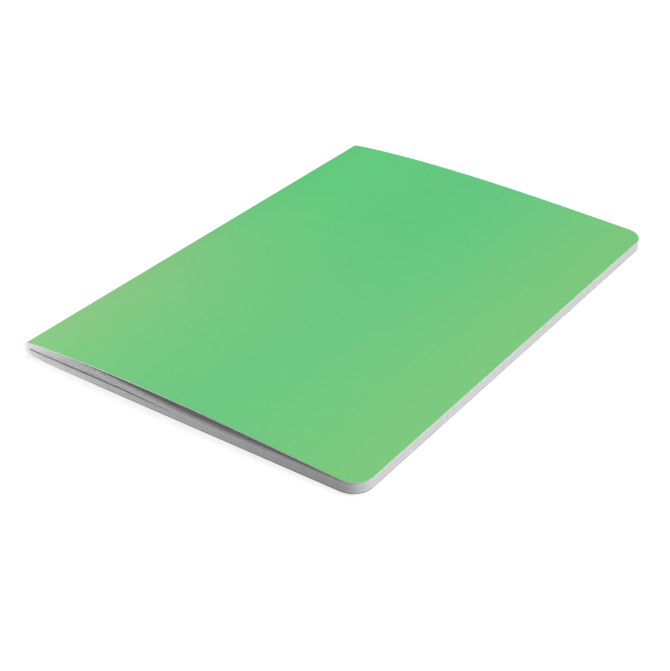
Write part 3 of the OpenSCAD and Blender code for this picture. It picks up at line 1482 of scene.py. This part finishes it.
    def drilled(self, rule: GeometryTree, shape: Term, depth: float, oval: float, sides: int) -> Term:
        """Cuts the row of needle holes through a shape.

        Args:
            rule: A tree with the inputs of hole_settings.
            shape: The shape.
            depth: Length of the drills, half of it to each side of the card.
            oval: Height of a hole as a share of its length.
            sides: Number of sides of a hole.

        Returns:
            The shape with the holes; their walls have the attribute hole_wall.
        """
        graph = rule.graph
        start = graph.joined(self.section.strip_x, rule.given("First"), self.section.fold_middle)
        pitch = graph.joined(0.0, rule.given("Pitch"), 0.0)
        points = graph.term("GeometryNodeMeshLine", sockets={
            "Count": rule.given("Holes"), "Start Location": start, "Offset": pitch})
        drill = graph.term("GeometryNodeMeshCylinder", sockets={
            "Vertices": sides, "Radius": rule.given("Radius"), "Depth": depth})
        drills = graph.term("GeometryNodeInstanceOnPoints", sockets={
            "Points": points, "Instance": rule.stored(drill, "hole_wall", True, "BOOLEAN"),
            "Rotation": (0.0, QUARTER_TURN, 0.0), "Scale": (oval, 1.0, 1.0)})
        cut = graph.term("GeometryNodeMeshBoolean", {"operation": "DIFFERENCE", "solver": "EXACT"},
                         {"Mesh 1": shape, "Mesh 2": rule.realized(drills)})
        corners = graph.term("GeometryNodeInputMeshFaceNeighbors", output="Vertex Count")
        many_sided = corners.maths("GREATER_THAN", 4)
        return graph.term("GeometryNodeTriangulate", sockets={"Mesh": cut, "Selection": many_sided})

    def pierced(self, shop: Workshop, strip: bpy.types.Object) -> bpy.types.Object:
        """Presses the dimples into the spine strip and cuts its holes.

        Args:
            shop: The workshop.
            strip: The spine strip.

        Returns:
            The pierced strip as a plain mesh.
        """
        rule = GeometryTree("needle_holes", self.hole_settings() | {
            "Dimple radius": (Setting.NUMBER, self.dimple_radius),
            "Dimple depth": (Setting.NUMBER, self.dimple_depth),
            "Hole wall": (Setting.MATERIAL, shop.material(CoatedCard())),
        })
        depth = self.section.card * self.drill_length
        cut = self.drilled(rule, self.dimpled(rule), depth, self.hole_oval, self.card_hole_sides)
        rule.finish(cut, [(rule.given("Hole wall"), rule.attribute("hole_wall", "BOOLEAN"))])
        rule.run(strip)
        return shop.baked(strip)

    def dress(self, shop: Workshop) -> None:
        """Builds both threads and ties them to the frame."""
        tie(self.thread(shop, "needle_stitches", self.needle_dip), "needle_thread", "signature")
        tie(self.thread(shop, "bobbin_stitches", self.bobbin_rise), "bobbin_thread", "signature")


@dataclass(frozen=True)
class Lamp:
    """A soft rectangular fill lamp that faces a point on the notebook and leaves no highlight."""

    name: str
    place: Point
    size: tuple[float, float]
    power: float
    target: Point = (0.0, 0.0, 0.0)

    def hang(self) -> None:
        """Adds the lamp."""
        light = bpy.data.lights.new(self.name, "AREA")
        light.shape = "RECTANGLE"
        light.size, light.size_y = self.size
        light.energy = self.power
        made = Workshop.shown(self.name, light)
        made.visible_camera = False
        made.visible_glossy = False
        made.location = self.place
        made.rotation_euler = (Vector(self.target) - Vector(self.place)).to_track_quat("-Z", "Y").to_euler()


@dataclass(frozen=True)
class Sky:
    """A broad even key light from one direction, as from a studio ceiling."""

    name: str
    direction: Point
    strength: float
    spread: float

    def hang(self) -> None:
        """Adds the light."""
        light = bpy.data.lights.new(self.name, "SUN")
        light.energy = self.strength
        light.angle = self.spread
        made = Workshop.shown(self.name, light)
        made.rotation_euler = Vector(self.direction).to_track_quat("Z", "Y").to_euler()


@dataclass
class Studio:
    """Floor, lamps, world and camera."""

    floor_size: float = 6.0
    floor_colour: Colour = (0.3, 0.3, 0.3, 1.0)
    floor_lift: float = 0.79
    world_strength: float = 0.16
    world_white: float = 1.06
    azimuth: float = math.radians(34.31)
    elevation: float = math.radians(31.71)
    roll: float = math.radians(0.86)
    distance: float = 0.5529
    target: Point = (10.4 * MM, -28.7 * MM, 0.0)
    focal_pixels: float = 1494.46
    long_side_pixels: float = 671.0
    sensor: float = 36.0
    nearest: float = 0.01
    farthest: float = 50.0
    lamps: tuple[Sky | Lamp, ...] = (
        Sky("key", direction=(0.0, 0.6, 1.15), strength=2.63, spread=math.radians(45)),
        Lamp("fore_side", place=(1.0, -0.05, 0.12), size=(0.5, 0.2), power=5.9),
        Lamp("low_fill", place=(-0.17, -0.22, 0.015), size=(0.05, 0.02), power=0.26,
             target=(-0.06, -0.105, 0.003)),
    )

    def camera(self) -> None:
        """Adds the camera at the photograph's viewing angle."""
        lens = bpy.data.cameras.new("camera")
        lens.sensor_fit = "VERTICAL"
        lens.sensor_width = self.sensor
        lens.sensor_height = self.sensor
        lens.lens = self.focal_pixels * self.sensor / self.long_side_pixels
        lens.clip_start = self.nearest
        lens.clip_end = self.farthest
        made = Workshop.shown("camera", lens)
        flat = math.cos(self.elevation)
        back = Vector((flat * math.sin(self.azimuth), -flat * math.cos(self.azimuth),
                       math.sin(self.elevation)))
        turned = back.to_track_quat("Z", "Y").to_matrix() @ Matrix.Rotation(self.roll, 3, "Z")
        made.matrix_world = Matrix.Translation(Vector(self.target) + back * self.distance) @ turned.to_4x4()
        bpy.context.scene.camera = made

    @staticmethod
    def seen(graph: Graph) -> Term:
        """Gives 1 to what the camera sees itself, and 0 to light and reflections."""
        return graph.term("ShaderNodeLightPath", output="Is Camera Ray")

    def floor(self) -> None:
        """Adds the pale floor, which shows as white but for the notebook's shadow."""
        half = self.floor_size / 2
        corners = [(-half, -half, 0), (half, -half, 0), (half, half, 0), (-half, half, 0)]
        mesh = bpy.data.meshes.new("floor")
        mesh.from_pydata(corners, [], [(0, 1, 2, 3)])
        made = Workshop.shown("floor", mesh)
        material = bpy.data.materials.new("floor")
        graph = Graph.of(material)
        matt = graph.term("ShaderNodeBsdfDiffuse", sockets={"Color": self.floor_colour})
        glow = graph.term("ShaderNodeEmission", sockets={"Strength": self.seen(graph) * self.floor_lift})
        both = graph.term("ShaderNodeAddShader", sockets={0: matt, 1: glow})
        graph.node("ShaderNodeOutputMaterial", sockets={"Surface": both})
        mesh.materials.append(material)

    def world(self) -> None:
        """Sets a plain world: white behind the object, softer on it."""
        world = bpy.data.worlds.new("studio")
        graph = Graph.of(world)
        strength = mixed(self.world_strength, self.world_white, self.seen(graph))
        light = graph.term("ShaderNodeBackground", sockets={"Color": WHITE, "Strength": strength})
        graph.node("ShaderNodeOutputWorld", sockets={"Surface": light})
        bpy.context.scene.world = world

    def set_up(self) -> None:
        """Sets up the whole studio."""
        self.camera()
        self.floor()
        self.world()
        for lamp in self.lamps:
            lamp.hang()
        bpy.context.scene.view_settings.view_transform = "Standard"


def main() -> None:
    """Builds the notebook and its studio."""
    logging.basicConfig(level=logging.INFO, format="%(name)s: %(message)s")
    section = Section.from_frame()
    LOG.info("section: %s", section)
    shop = Workshop()
    Studio().set_up()
    seam = Seam(section)
    Cover(section, seam).dress(shop)
    Signature(section, seam).dress(shop)
    seam.dress(shop)


if __name__ == "__main__":
    main()
